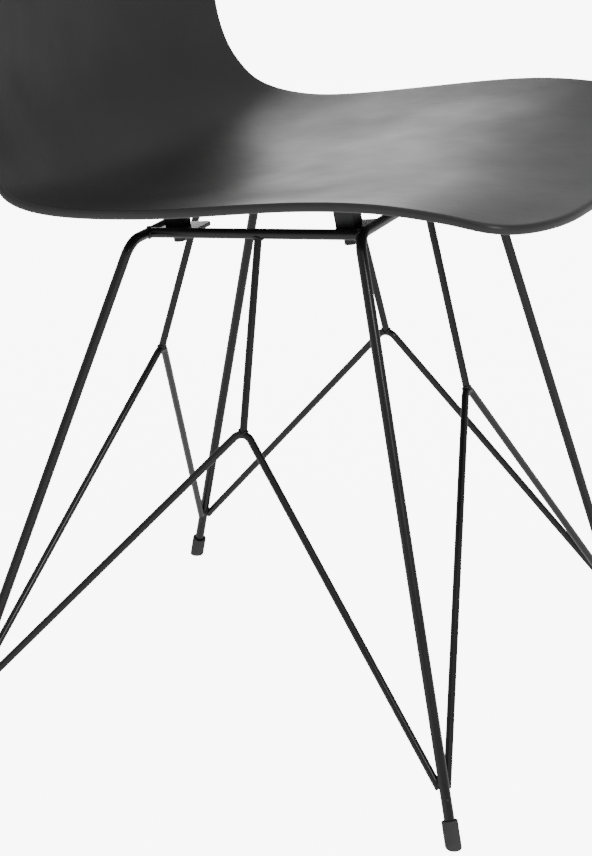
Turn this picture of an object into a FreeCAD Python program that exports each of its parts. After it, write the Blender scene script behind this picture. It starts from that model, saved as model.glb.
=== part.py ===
import FreeCAD, Part
import math
import os

# Side chair with a one-piece moulded shell on a welded wire-rod base.
# Millimetres. Z is up and the floor is z = 0. The sitter faces -Y, so left is +X.
# The origin is on the floor, between the front and the rear feet.

Vector = FreeCAD.Vector

# Rods
leg_rod_diameter = 8.0
brace_rod_diameter = 6.0
leg_bend_radius = 16.0
brace_bend_radius = 9.0

# Where the leg centre lines meet the floor and the cross bars
front_foot_y = -211.8
rear_foot_y = 214.7
front_foot_half_width = 223.7
rear_foot_half_width = 227.5
front_bar_half_width = 134.8
rear_bar_half_width = 120.0
front_bar_y = -98.6
rear_bar_y = 95.9
front_bar_height = 431.1
rear_bar_height = 403.8

# Side rails: at the front they meet the bends, at the rear they meet the cross bar
rail_front_inset = 6.0
rail_front_drop = 1.2
rail_rear_inset = 30.0

# Braces: their peaks, and the share of the leg's length at which their feet are welded
front_peak_y = -135.5
front_peak_height = 282.5
rear_peak_y = 131.0
rear_peak_height = 285.0
side_peak_half_width = 147.0
side_peak_y = -10.5
side_peak_height = 275.5
front_brace_foot_share = 0.076
rear_brace_foot_share = 0.102

# Share of the side rail, from the front, at which each side strut is welded, how far short
# of a brace's centre line every strut ends, and how far short of a leg's every brace ends
right_strut_share = 0.469
left_strut_share = 0.556
strut_end_setback = 1.0
brace_end_setback = 11.0

# Corner plates, in the plane of the top frame
plate_thickness = 3.0
plate_corner_radius = 6.0
front_plate_depth = 27.0
rear_plate_depth = 43.0
front_plate_reach = 41.0
rear_plate_reach = 32.0
front_mount_half_width = 114.5
rear_mount_half_width = 76.0
front_mount_inset = 16.0
rear_mount_inset = 19.5

# Screws and washers
screw_diameter = 6.0
screw_length = 20.0
screw_head_diameter = 10.0
screw_head_height = 6.0
screw_socket_flats = 5.0
screw_socket_depth = 3.0
screw_clearance = 0.3
washer_thickness = 1.6
flat_washer_diameter = 12.0
spring_washer_diameter = 10.6
spring_washer_split = 1.2

# Threaded inserts in the bosses of the shell
insert_diameter = 9.0
insert_length = 12.0
insert_fit_clearance = 0.1
thread_clearance = 0.1
insert_bore_extra_depth = 2.0

# Bosses under the shell, oblong blocks that taper down to the plates
boss_length = 19.0
boss_width = 16.0
boss_taper = 1.2
boss_corner_radius = 3.0

# Foot caps
cap_diameter = 12.4
cap_height = 20.0
cap_floor = 5.0
cap_fit_clearance = 0.1
cap_mouth_step = 0.8
cap_mouth_depth = 1.5
cap_edge_radius = 1.5

# Shell
shell_thickness = 7.0
shell_front_corner_width = 90.0
shell_front_corner_depth = 45.0
shell_top_corner_width = 120.0
shell_top_corner_depth = 85.0
shell_section_count = 30

# Centre line of the shell's upper face from the front edge to the top of the back.
# Each point is its distance behind the front cross bar, measured along the top frame,
# and its height above the frame.
shell_spine = [
    (-173.9, 11.8),
    (-110.1, 19.9),
    (-35.8, 29.2),
    (65.2, 29.5),
    (146.3, 26.5),
    (206.8, 28.5),
    (254.8, 46.5),
    (279.5, 86.8),
    (286.5, 150.1),
    (290.2, 251.7),
    (296.8, 343.5),
    (303.5, 430.3),
]

# Half width of the shell and the rise of its edges above the centre line,
# each at a share of the way along the spine
shell_half_widths = [
    (0.00, 236.0),
    (0.10, 239.0),
    (0.20, 246.0),
    (0.32, 243.0),
    (0.42, 232.0),
    (0.50, 228.5),
    (0.55, 216.0),
    (0.60, 201.0),
    (0.66, 194.0),
    (0.76, 208.0),
    (0.88, 222.0),
    (1.00, 214.0),
]
shell_edge_rises = [
    (0.000, 6.5),
    (0.025, 7.8),
    (0.050, 10.4),
    (0.085, 14.0),
    (0.150, 17.3),
    (0.350, 20.0),
    (0.50, 27.0),
    (0.60, 33.0),
    (0.80, 32.0),
    (1.00, 24.0),
]


def along(start, end, share):
    """Return the point at a share of the way from start to end."""
    return start + (end - start) * share


def mirrored(item):
    """Return a point or a shape mirrored from left to right."""
    if isinstance(item, Vector):
        return Vector(-item.x, item.y, item.z)
    return item.mirror(Vector(0, 0, 0), Vector(1, 0, 0))


def straight_rod(start, end, diameter):
    """Return a round rod between two points."""
    return Part.makeCylinder(diameter / 2, (end - start).Length, start, end - start)


def bent_rod(points, diameter, bend_radius):
    """Return a round rod that follows the points, with a round bend at each inner one."""
    edges = []
    pen = points[0]
    for before, corner, after in zip(points, points[1:], points[2:]):
        back = (before - corner).normalize()
        ahead = (after - corner).normalize()
        half_angle = back.getAngle(ahead) / 2
        tangent_length = bend_radius / math.tan(half_angle)
        middle_length = bend_radius / math.sin(half_angle) - bend_radius
        bend_start = corner + back * tangent_length
        bend_middle = corner + (back + ahead).normalize() * middle_length
        bend_end = corner + ahead * tangent_length
        edges.append(Part.makeLine(pen, bend_start))
        edges.append(Part.Arc(bend_start, bend_middle, bend_end).toShape())
        pen = bend_end
    edges.append(Part.makeLine(pen, points[-1]))
    circle = Part.makeCircle(diameter / 2, points[0], points[1] - points[0])
    return Part.Wire(edges).makePipeShell([Part.Wire([circle])], True, True)


def largest_solid(shape):
    """Return the largest solid of a shape, without the offcuts."""
    return max(shape.Solids, key=lambda solid: solid.Volume)


def slope_at(pairs, index):
    """Return the slope of a smooth curve at one of its pairs."""
    before = pairs[max(index - 1, 0)]
    after = pairs[min(index + 1, len(pairs) - 1)]
    return (after[1] - before[1]) / (after[0] - before[0])


def curve_value(pairs, share):
    """Return the value at a share of the way along a smooth curve through the pairs."""
    index = 0
    while index < len(pairs) - 2 and share > pairs[index + 1][0]:
        index += 1
    (x0, y0), (x1, y1) = pairs[index], pairs[index + 1]
    span = x1 - x0
    t = (share - x0) / span
    return (
        y0 * (1 + 2 * t) * (1 - t) ** 2
        + y1 * t**2 * (3 - 2 * t)
        + span * slope_at(pairs, index) * t * (1 - t) ** 2
        - span * slope_at(pairs, index + 1) * t**2 * (1 - t)
    )


def centre_point(half_width_x, y, z):
    """Return a point on the right side of the chair, the sitter's right."""
    return Vector(-half_width_x, y, z)


# Leg bows
front_right_corner = centre_point(front_bar_half_width, front_bar_y, front_bar_height)
rear_right_corner = centre_point(rear_bar_half_width, rear_bar_y, rear_bar_height)
front_right_foot = centre_point(front_foot_half_width, front_foot_y, 0)
rear_right_foot = centre_point(rear_foot_half_width, rear_foot_y, 0)


def leg_bow(foot, corner):
    """Return a bow of two legs and a cross bar, its ends held off the floor by the caps."""
    axis = (corner - foot).normalize()
    rod_end = foot + axis * (cap_floor / axis.z)
    points = [rod_end, corner, mirrored(corner), mirrored(rod_end)]
    return bent_rod(points, leg_rod_diameter, leg_bend_radius)


front_leg_bow = leg_bow(front_right_foot, front_right_corner)
rear_leg_bow = leg_bow(rear_right_foot, rear_right_corner)
bows = front_leg_bow.fuse(rear_leg_bow)

# Side rails, coped to the bows
rail_front = front_right_corner + Vector(rail_front_inset, 0, -rail_front_drop)
rail_rear = rear_right_corner + Vector(rail_rear_inset, 0, 0)
right_side_rail = largest_solid(straight_rod(rail_front, rail_rear, leg_rod_diameter).cut(bows))
left_side_rail = mirrored(right_side_rail)
top_frame = bows.fuse([right_side_rail, left_side_rail])

# Inverted-V braces, cut square at their ends and coped to the legs.
# The front and rear ones are also coped to the side ones.
front_right_joint = along(front_right_foot, front_right_corner, front_brace_foot_share)
rear_right_joint = along(rear_right_foot, rear_right_corner, rear_brace_foot_share)
right_peak = centre_point(side_peak_half_width, side_peak_y, side_peak_height)
front_peak = Vector(0, front_peak_y, front_peak_height)
rear_peak = Vector(0, rear_peak_y, rear_peak_height)


def v_brace(first_joint, peak, second_joint, welded_to):
    """Return a brace bent at its peak and coped to what its feet are welded to."""
    first_end = first_joint + (peak - first_joint).normalize() * brace_end_setback
    second_end = second_joint + (peak - second_joint).normalize() * brace_end_setback
    rod = bent_rod([first_end, peak, second_end], brace_rod_diameter, brace_bend_radius)
    return largest_solid(rod.cut(welded_to))


right_v_brace = v_brace(front_right_joint, right_peak, rear_right_joint, bows)
left_v_brace = mirrored(right_v_brace)
legs_and_side_braces = bows.fuse([right_v_brace, left_v_brace])
front_v_brace = v_brace(
    front_right_joint, front_peak, mirrored(front_right_joint), legs_and_side_braces
)
rear_v_brace = v_brace(
    rear_right_joint, rear_peak, mirrored(rear_right_joint), legs_and_side_braces
)


def bend_top(first_joint, peak, second_joint):
    """Return the middle of a brace's bend on its centre line."""
    back = (first_joint - peak).normalize()
    ahead = (second_joint - peak).normalize()
    half_angle = back.getAngle(ahead) / 2
    middle_length = brace_bend_radius / math.sin(half_angle) - brace_bend_radius
    return peak + (back + ahead).normalize() * middle_length


def strut(top, bottom, brace):
    """Return a strut from the top frame to a brace, coped to both."""
    end = bottom + (top - bottom).normalize() * strut_end_setback
    rod = straight_rod(top, end, brace_rod_diameter)
    return largest_solid(rod.cut([top_frame, brace]))


front_strut = strut(
    along(front_right_corner, mirrored(front_right_corner), 0.5),
    bend_top(front_right_joint, front_peak, mirrored(front_right_joint)),
    front_v_brace,
)
rear_strut = strut(
    along(rear_right_corner, mirrored(rear_right_corner), 0.5),
    bend_top(rear_right_joint, rear_peak, mirrored(rear_right_joint)),
    rear_v_brace,
)
side_brace_top = bend_top(front_right_joint, right_peak, rear_right_joint)
right_strut = strut(along(rail_front, rail_rear, right_strut_share), side_brace_top, right_v_brace)
left_strut = mirrored(
    strut(along(rail_front, rail_rear, left_strut_share), side_brace_top, right_v_brace)
)

# Plane of the top frame: x across, y back along the rails, z out of the plane
frame_rise = front_bar_height - rear_bar_height
frame_run = rear_bar_y - front_bar_y
frame_length = math.hypot(frame_rise, frame_run)
frame_plane = FreeCAD.Placement(
    Vector(0, front_bar_y, front_bar_height),
    FreeCAD.Rotation(Vector(1, 0, 0), -math.degrees(math.atan2(frame_rise, frame_run))),
)
front_mount_y = front_mount_inset
rear_mount_y = frame_length - rear_mount_inset
mount_points = [
    Vector(-front_mount_half_width, front_mount_y, 0),
    Vector(front_mount_half_width, front_mount_y, 0),
    Vector(-rear_mount_half_width, rear_mount_y, 0),
    Vector(rear_mount_half_width, rear_mount_y, 0),
]


def in_frame_plane(shape):
    """Return a shape that was drawn flat, moved into the plane of the top frame."""
    moved = shape.copy()
    moved.Placement = frame_plane.multiply(shape.Placement)
    return moved


def rail_half_width(y):
    """Return the rail's distance from the middle at a place in the frame's plane."""
    rail_end = rear_bar_half_width - rail_rear_inset
    rail_start = front_bar_half_width - rail_front_inset
    return rail_start + (rail_end - rail_start) * y / frame_length


def mount_plate(bar_y, free_y, reach, screw_x, screw_y):
    """Return the right-hand plate between a cross bar and the rail, with its screw hole."""
    bottom = -plate_thickness / 2
    inner_x = -rail_half_width((bar_y + free_y) / 2) + reach
    corners = [
        Vector(-rail_half_width(bar_y), bar_y, bottom),
        Vector(inner_x, bar_y, bottom),
        Vector(inner_x, free_y, bottom),
        Vector(-rail_half_width(free_y), free_y, bottom),
    ]
    outline = Part.makePolygon(corners + corners[:1])
    plate = Part.Face(outline).extrude(Vector(0, 0, plate_thickness))
    if plate.Volume < 0:
        plate.reverse()
    free_corner = [
        edge
        for edge in plate.Edges
        if all(
            abs(vertex.X - inner_x) < 1e-6 and abs(vertex.Y - free_y) < 1e-6
            for vertex in edge.Vertexes
        )
    ]
    plate = plate.makeFillet(plate_corner_radius, free_corner)
    hole = Part.makeCylinder(
        screw_diameter / 2 + screw_clearance, plate_thickness, Vector(screw_x, screw_y, bottom)
    )
    return largest_solid(in_frame_plane(plate.cut(hole)).cut(top_frame))


front_right_mount_plate = mount_plate(
    0, front_plate_depth, front_plate_reach, -front_mount_half_width, front_mount_y
)
rear_right_mount_plate = mount_plate(
    frame_length,
    frame_length - rear_plate_depth,
    rear_plate_reach,
    -rear_mount_half_width,
    rear_mount_y,
)

# Fasteners under the plates, stacked down from each plate's lower face
plate_bottom = -plate_thickness / 2
plate_top = plate_thickness / 2
flat_washer_bottom = plate_bottom - washer_thickness
spring_washer_bottom = flat_washer_bottom - washer_thickness
bore_radius = screw_diameter / 2 + screw_clearance


def ring(outer_diameter, inner_radius, height, bottom):
    """Return a flat ring with its lower face at the given height."""
    outer = Part.makeCylinder(outer_diameter / 2, height, Vector(0, 0, bottom))
    inner = Part.makeCylinder(inner_radius, height, Vector(0, 0, bottom))
    return outer.cut(inner)


def hexagon_prism(flats, height, bottom):
    """Return a six-sided prism measured across its flats."""
    radius = flats / math.sqrt(3)
    corners = [
        Vector(radius * math.cos(math.pi * k / 3), radius * math.sin(math.pi * k / 3), bottom)
        for k in range(7)
    ]
    return Part.Face(Part.makePolygon(corners)).extrude(Vector(0, 0, height))


flat_washer = ring(flat_washer_diameter, bore_radius, washer_thickness, flat_washer_bottom)
spring_washer = ring(spring_washer_diameter, bore_radius, washer_thickness, spring_washer_bottom)
spring_washer = spring_washer.cut(
    Part.makeBox(
        spring_washer_diameter,
        spring_washer_split,
        washer_thickness,
        Vector(0, -spring_washer_split / 2, spring_washer_bottom),
    )
)
head_bottom = spring_washer_bottom - screw_head_height
seat_screw = Part.makeCylinder(
    screw_head_diameter / 2, screw_head_height, Vector(0, 0, head_bottom)
).fuse(
    Part.makeCylinder(screw_diameter / 2, screw_length, Vector(0, 0, spring_washer_bottom))
)
seat_screw = seat_screw.cut(hexagon_prism(screw_socket_flats, screw_socket_depth, head_bottom))
threaded_insert = ring(
    insert_diameter, screw_diameter / 2 + thread_clearance, insert_length, plate_top
)


def at_mounts(shape):
    """Return the shape copied to the four mounting points of the frame."""
    copies = []
    for point in mount_points:
        copy = shape.copy()
        copy.translate(point)
        copies.append(in_frame_plane(copy))
    return Part.makeCompound(copies)


# Foot caps, bored for the leg and cut flat at the floor
def foot_cap(foot, corner):
    """Return a cap on the end of a leg, with a stepped mouth and a rounded lower edge."""
    axis = (corner - foot).normalize()
    below_floor = foot - axis * cap_diameter
    rod_end = foot + axis * (cap_floor / axis.z)
    mouth = foot + axis * (cap_height / axis.z)
    cap = straight_rod(below_floor, mouth, cap_diameter)
    under = Part.makeBox(
        4 * cap_diameter,
        4 * cap_diameter,
        2 * cap_diameter,
        Vector(foot.x - 2 * cap_diameter, foot.y - 2 * cap_diameter, -2 * cap_diameter),
    )
    cap = cap.cut(under)
    floor_edges = [edge for edge in cap.Edges if edge.BoundBox.ZMax < 1e-6]
    cap = cap.makeFillet(cap_edge_radius, floor_edges)
    bore_diameter = leg_rod_diameter + 2 * cap_fit_clearance
    step_start = mouth - axis * cap_mouth_depth
    bore = straight_rod(rod_end, mouth + axis, bore_diameter)
    step = straight_rod(step_start, mouth + axis, bore_diameter + 2 * cap_mouth_step)
    return cap.cut([bore, step])


front_right_foot_cap = foot_cap(front_right_foot, front_right_corner)
rear_right_foot_cap = foot_cap(rear_right_foot, rear_right_corner)

# Shell, drawn in the frame's plane and lofted through sections square to its centre line
spine = Part.BSplineCurve()
spine.interpolate([Vector(0, back, height) for back, height in shell_spine])
spine_length = spine.length()


def corner_cut(share):
    """Return how much the round corners take off the half width at a share of the spine."""
    cut = 0.0
    for distance, width, depth in (
        (share * spine_length, shell_front_corner_width, shell_front_corner_depth),
        ((1 - share) * spine_length, shell_top_corner_width, shell_top_corner_depth),
    ):
        if distance < depth:
            cut += width * (1 - math.sqrt(1 - (1 - distance / depth) ** 2))
    return cut


def shell_point(share, across, depth):
    """Return a point of the shell in the frame's plane.

    share runs along the spine, across from -1 at the right edge to 1 at the left edge,
    and depth is the distance below the upper face.
    """
    parameter = spine.parameterAtDistance(share * spine_length)
    tangent = Vector(*spine.tangent(parameter)[0])
    normal = Vector(0, -tangent.z, tangent.y)
    full_half_width = curve_value(shell_half_widths, share)
    x = across * (full_half_width - corner_cut(share))
    rise = curve_value(shell_edge_rises, share) * (x / full_half_width) ** 2
    return spine.value(parameter) + Vector(x, 0, 0) + normal * (rise - depth)


def shell_section(share):
    """Return the closed outline of the shell across its centre line."""
    steps = [k / 4 for k in range(-4, 5)]
    upper = Part.BSplineCurve()
    upper.interpolate([shell_point(share, step, 0) for step in steps])
    lower = Part.BSplineCurve()
    lower.interpolate([shell_point(share, -step, shell_thickness) for step in steps])
    edge_middle = Vector(shell_thickness / 2, 0, 0)
    left_middle = shell_point(share, 1, shell_thickness / 2) + edge_middle
    right_middle = shell_point(share, -1, shell_thickness / 2) - edge_middle
    left_edge = Part.Arc(upper.EndPoint, left_middle, lower.StartPoint)
    right_edge = Part.Arc(lower.EndPoint, right_middle, upper.StartPoint)
    return Part.Wire([curve.toShape() for curve in (upper, left_edge, lower, right_edge)])


def section_shares():
    """Return the shares of the spine for the sections, closer together at the corners."""
    front_share = shell_front_corner_depth / spine_length
    top_share = shell_top_corner_depth / spine_length
    corner_steps = [1 - math.cos(math.pi / 2 * k / 6) for k in range(6)]
    front = [front_share * step for step in corner_steps]
    top = [1 - top_share * step for step in reversed(corner_steps)]
    inner_count = shell_section_count - 12
    inner_length = 1 - front_share - top_share
    inner = [front_share + inner_length * k / inner_count for k in range(inner_count + 1)]
    return front + inner + top


shell = Part.makeLoft([shell_section(share) for share in section_shares()], True, False)


def shell_underside_height(point):
    """Return how far the shell's lower face is above the frame's plane at a mount."""
    probe = Part.makeLine(point, point + Vector(0, 0, spine_length))
    return min(vertex.Z for vertex in shell.common(probe).Vertexes)


def boss_outline(point, taper, height):
    """Return a boss's oblong outline at a height, drawn in from its full size by the taper."""
    x = boss_width / 2 - taper
    y = boss_length / 2 - taper
    corners = [Vector(i * x, j * y, height) for i, j in ((-1, -1), (1, -1), (1, 1), (-1, 1))]
    return Part.makePolygon([point + corner for corner in corners + corners[:1]])


def boss(point):
    """Return a tapered boss from the top of a plate into the shell."""
    top = shell_underside_height(point) + shell_thickness / 2
    outlines = [boss_outline(point, boss_taper, plate_top), boss_outline(point, 0, top)]
    block = Part.makeLoft(outlines, True, True)
    sides = [edge for edge in block.Edges if edge.BoundBox.ZLength > top - plate_top - 1e-6]
    return block.makeFillet(boss_corner_radius, sides)


def boss_bore(point):
    """Return the bore of a boss for its insert and the tip of its screw."""
    depth = insert_length + insert_bore_extra_depth
    radius = insert_diameter / 2 + insert_fit_clearance
    return Part.makeCylinder(radius, depth, point + Vector(0, 0, plate_top))


seat_shell = shell.fuse([boss(point) for point in mount_points])
seat_shell = in_frame_plane(seat_shell.cut([boss_bore(point) for point in mount_points]))

nodes = {
    "seat_shell": seat_shell,
    "front_leg_bow": front_leg_bow,
    "rear_leg_bow": rear_leg_bow,
    "left_side_rail": left_side_rail,
    "right_side_rail": right_side_rail,
    "front_left_mount_plate": mirrored(front_right_mount_plate),
    "front_right_mount_plate": front_right_mount_plate,
    "rear_left_mount_plate": mirrored(rear_right_mount_plate),
    "rear_right_mount_plate": rear_right_mount_plate,
    "front_strut": front_strut,
    "rear_strut": rear_strut,
    "left_strut": left_strut,
    "right_strut": right_strut,
    "front_v_brace": front_v_brace,
    "rear_v_brace": rear_v_brace,
    "left_v_brace": left_v_brace,
    "right_v_brace": right_v_brace,
    "front_left_foot_cap": mirrored(front_right_foot_cap),
    "front_right_foot_cap": front_right_foot_cap,
    "rear_left_foot_cap": mirrored(rear_right_foot_cap),
    "rear_right_foot_cap": rear_right_foot_cap,
    "seat_screws": at_mounts(seat_screw),
    "flat_washers": at_mounts(flat_washer),
    "spring_washers": at_mounts(spring_washer),
    "threaded_inserts": at_mounts(threaded_insert),
}

os.makedirs("parts", exist_ok=True)
for name, shape in nodes.items():
    shape.exportStep(f"parts/{name}.step")
    print(name, shape.isValid(), len(shape.Solids), round(shape.Volume))
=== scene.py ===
import logging
import math
from collections.abc import Callable, Iterable, Sequence
from dataclasses import dataclass, field
from enum import Enum

import bmesh
import bpy
import numpy as np
from mathutils import Matrix, Vector


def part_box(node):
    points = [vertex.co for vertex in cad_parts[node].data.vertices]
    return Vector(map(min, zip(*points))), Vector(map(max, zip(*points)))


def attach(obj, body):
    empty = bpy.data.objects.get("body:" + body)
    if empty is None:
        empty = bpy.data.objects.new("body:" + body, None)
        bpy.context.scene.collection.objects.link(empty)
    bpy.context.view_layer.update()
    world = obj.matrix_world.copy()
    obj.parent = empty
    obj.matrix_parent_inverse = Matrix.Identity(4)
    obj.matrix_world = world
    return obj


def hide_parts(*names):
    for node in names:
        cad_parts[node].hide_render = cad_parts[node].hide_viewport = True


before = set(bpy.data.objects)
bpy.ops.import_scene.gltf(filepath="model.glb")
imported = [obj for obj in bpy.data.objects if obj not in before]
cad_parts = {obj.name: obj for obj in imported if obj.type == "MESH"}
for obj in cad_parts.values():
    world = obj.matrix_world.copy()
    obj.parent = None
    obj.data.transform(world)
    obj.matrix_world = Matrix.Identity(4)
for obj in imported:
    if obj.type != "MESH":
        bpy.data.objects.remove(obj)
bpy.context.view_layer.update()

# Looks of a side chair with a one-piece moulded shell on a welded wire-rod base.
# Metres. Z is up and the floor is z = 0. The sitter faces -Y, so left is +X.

MM = 0.001
X_AXIS = Vector((1, 0, 0))
Z_AXIS = Vector((0, 0, 1))
NOISE_SPAN = (0.3, 0.7)
MERGE_DISTANCE = 0.001 * MM

log = logging.getLogger("side_chair")


class Slot(Enum):
    """Material slots of the record."""

    SHELL = "shell_plastic"
    FRAME = "frame_paint"
    CAP = "foot_cap_plastic"
    STEEL = "fastener_steel"
    BRASS = "insert_brass"


class Side(Enum):
    """Side of the chair, as the sign of X."""

    LEFT = 1
    RIGHT = -1

    @property
    def word(self) -> str:
        """Return the side's name in lower case."""
        return self.name.lower()


# Small helpers for points, meshes and node trees


def mirrored(point: Vector) -> Vector:
    """Return a point mirrored from left to right."""
    return Vector((-point.x, point.y, point.z))


def smooth_value(pairs: Sequence[tuple[float, float]], shares: np.ndarray) -> np.ndarray:
    """Read a smooth curve through pairs of share and value.

    Args:
        pairs: the curve's shares, in rising order, and its values there.
        shares: where to read the curve.

    Returns:
        The curve's value at each share.
    """
    knots, values = np.array(pairs).T
    before = np.maximum(np.arange(len(knots)) - 1, 0)
    after = np.minimum(np.arange(len(knots)) + 1, len(knots) - 1)
    slopes = (values[after] - values[before]) / (knots[after] - knots[before])
    index = np.clip(np.searchsorted(knots, shares, side="left") - 1, 0, len(knots) - 2)
    span = knots[index + 1] - knots[index]
    t = (shares - knots[index]) / span
    return (
        values[index] * (1 + 2 * t) * (1 - t) ** 2
        + values[index + 1] * t**2 * (3 - 2 * t)
        + span * slopes[index] * t * (1 - t) ** 2
        - span * slopes[index + 1] * t**2 * (1 - t)
    )


def link(name: str, data: bpy.types.ID) -> bpy.types.Object:
    """Make an object and link it to the scene.

    Args:
        name: the object's name.
        data: its mesh, its lamp or its camera.

    Returns:
        The new object, at the origin.
    """
    made = bpy.data.objects.new(name, data)
    bpy.context.scene.collection.objects.link(made)
    return made


def new_object(
    name: str, points: Iterable, faces: Iterable, edges: Iterable = ()
) -> bpy.types.Object:
    """Make a mesh object and link it to the scene.

    Args:
        name: the object's name.
        points: the vertices.
        faces: the faces, as runs of vertex numbers.
        edges: loose edges, as pairs of vertex numbers.

    Returns:
        The new object, at the origin.
    """
    mesh = bpy.data.meshes.new(name)
    mesh.from_pydata([tuple(p) for p in points], list(edges), [tuple(f) for f in faces])
    mesh.validate()
    return link(name, mesh)


def joined_rings(count: int, size: int) -> list[list[int]]:
    """List the faces between rings of points that follow each other.

    Args:
        count: how many rings there are.
        size: how many points each ring has.

    Returns:
        The faces, as runs of vertex numbers.
    """
    return [
        [near + k, near + (k + 1) % size, near + size + (k + 1) % size, near + size + k]
        for near in range(0, (count - 1) * size, size)
        for k in range(size)
    ]


def close_and_orient(piece: bpy.types.Object, merge_distance: float = 0.01 * MM) -> None:
    """Merge doubled vertices and turn all faces outwards.

    Args:
        piece: a mesh object of one or more closed skins.
        merge_distance: how near vertices lie that become one.
    """
    work = bmesh.new()
    work.from_mesh(piece.data)
    bmesh.ops.remove_doubles(work, verts=work.verts, dist=merge_distance)
    bmesh.ops.recalc_face_normals(work, faces=work.faces)
    work.to_mesh(piece.data)
    work.free()


def shade(piece: bpy.types.Object, sharp_angle: float) -> None:
    """Shade a mesh smooth, but for edges that turn by more than an angle.

    Args:
        piece: the mesh object.
        sharp_angle: the angle in degrees.
    """
    piece.data.shade_smooth()
    piece.data.set_sharp_from_angle(angle=math.radians(sharp_angle))


class NodeGraph:
    """Adds nodes to a node tree and joins them."""

    def __init__(self, tree: bpy.types.NodeTree) -> None:
        """Keep the tree.

        Args:
            tree: a material's or a modifier's node tree.
        """
        self.tree = tree

    def add(self, kind: str, inputs: dict | None = None, **settings: object) -> bpy.types.Node:
        """Add a node.

        Args:
            kind: the node's type name.
            inputs: a value or an output socket for each input, by its name or number.
            settings: properties of the node.

        Returns:
            The new node.
        """
        node = self.tree.nodes.new(kind)
        for name, value in settings.items():
            setattr(node, name, value)
        for key, value in (inputs or {}).items():
            self.feed(node.inputs[key], value)
        return node

    def feed(self, socket: bpy.types.NodeSocket, value: object) -> None:
        """Set an input to a constant, or join an output to it.

        Args:
            socket: the input.
            value: a constant or an output socket.
        """
        if isinstance(value, bpy.types.NodeSocket):
            self.tree.links.new(value, socket)
        else:
            socket.default_value = value

    def maths(self, operation: str, first: object, second: object) -> bpy.types.NodeSocket:
        """Work out a value from two others.

        Args:
            operation: the sum, by its name in the node.
            first: a number or an output socket.
            second: a number or an output socket.

        Returns:
            The result.
        """
        return self.add("ShaderNodeMath", {0: first, 1: second}, operation=operation).outputs[0]

    def noise(
        self, vector: bpy.types.NodeSocket, scale: float, detail: float = 2.0
    ) -> bpy.types.NodeSocket:
        """Add a noise pattern.

        Args:
            vector: the coordinates that it follows.
            scale: how many features it has in a unit of them.
            detail: how many finer layers it has.

        Returns:
            The noise, from 0 to 1.
        """
        inputs = {"Vector": vector, "Scale": scale, "Detail": detail}
        return self.add("ShaderNodeTexNoise", inputs).outputs[0]

    def remap(
        self,
        value: bpy.types.NodeSocket,
        low: float,
        high: float,
        to_low: float,
        to_high: float,
    ) -> bpy.types.NodeSocket:
        """Map one range of a value to another.

        Args:
            value: the value.
            low: the start of its range.
            high: the end of its range.
            to_low: what the start becomes.
            to_high: what the end becomes.

        Returns:
            The mapped value, held inside the new range.
        """
        sockets = {0: value, 1: low, 2: high, 3: to_low, 4: to_high}
        return self.add("ShaderNodeMapRange", sockets, clamp=True).outputs[0]

    def vary(
        self, pattern: bpy.types.NodeSocket, middle: float, below: float, above: float
    ) -> bpy.types.NodeSocket:
        """Let a value follow a noise pattern round its middle.

        Args:
            pattern: the noise.
            middle: the value's middle.
            below: how far it falls below it.
            above: how far it rises above it.

        Returns:
            The varied value.
        """
        return self.remap(pattern, *NOISE_SPAN, middle - below, middle + above)

    def blend(
        self, share: bpy.types.NodeSocket, first: object, second: object
    ) -> bpy.types.NodeSocket:
        """Mix two colours.

        Args:
            share: how much there is of the second.
            first: a colour or an output socket.
            second: a colour or an output socket.

        Returns:
            The mixed colour.
        """
        node = self.add("ShaderNodeMix", data_type="RGBA")
        self.feed(node.inputs[0], share)
        self.feed(node.inputs[6], first)
        self.feed(node.inputs[7], second)
        return node.outputs[2]

    def bump(
        self,
        height: bpy.types.NodeSocket,
        distance: float,
        strength: float,
        below: bpy.types.NodeSocket | None = None,
    ) -> bpy.types.NodeSocket:
        """Turn a height pattern into a bumpy normal.

        Args:
            height: the pattern.
            distance: the height in metres that it stands for.
            strength: how much of it shows.
            below: the normal of the layer below, if there is one.

        Returns:
            The new normal.
        """
        inputs = {"Height": height, "Distance": distance, "Strength": strength}
        if below is not None:
            inputs["Normal"] = below
        return self.add("ShaderNodeBump", inputs).outputs[0]


def grey(level: float) -> tuple[float, float, float, float]:
    """Return a grey of a linear level, as a colour with full cover."""
    return (level, level, level, 1.0)


# Finishes


@dataclass(frozen=True)
class Finish:
    """What every finish has: a name, a shader's fixed values and its patterns."""

    name: str
    metallic: float = 0.0
    specular: float = 0.5

    def material(self) -> bpy.types.Material:
        """Build the material.

        Returns:
            A material whose colour, roughness and normal come from patterns.
        """
        made = bpy.data.materials.new(self.name)
        made.use_nodes = True
        graph = NodeGraph(made.node_tree)
        shader = made.node_tree.nodes["Principled BSDF"]
        shader.inputs["Metallic"].default_value = self.metallic
        shader.inputs["Specular IOR Level"].default_value = self.specular
        where = graph.add("ShaderNodeTexCoord").outputs["Object"]
        colour, roughness, normal = self.patterns(graph, where)
        graph.feed(shader.inputs["Base Color"], colour)
        graph.feed(shader.inputs["Roughness"], roughness)
        graph.feed(shader.inputs["Normal"], normal)
        return made

    def patterns(self, graph: NodeGraph, where: bpy.types.NodeSocket) -> tuple:
        """Add the finish's patterns.

        Args:
            graph: the material's nodes.
            where: object coordinates in metres.

        Returns:
            The sockets of the colour, the roughness and the normal.
        """
        raise NotImplementedError


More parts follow.
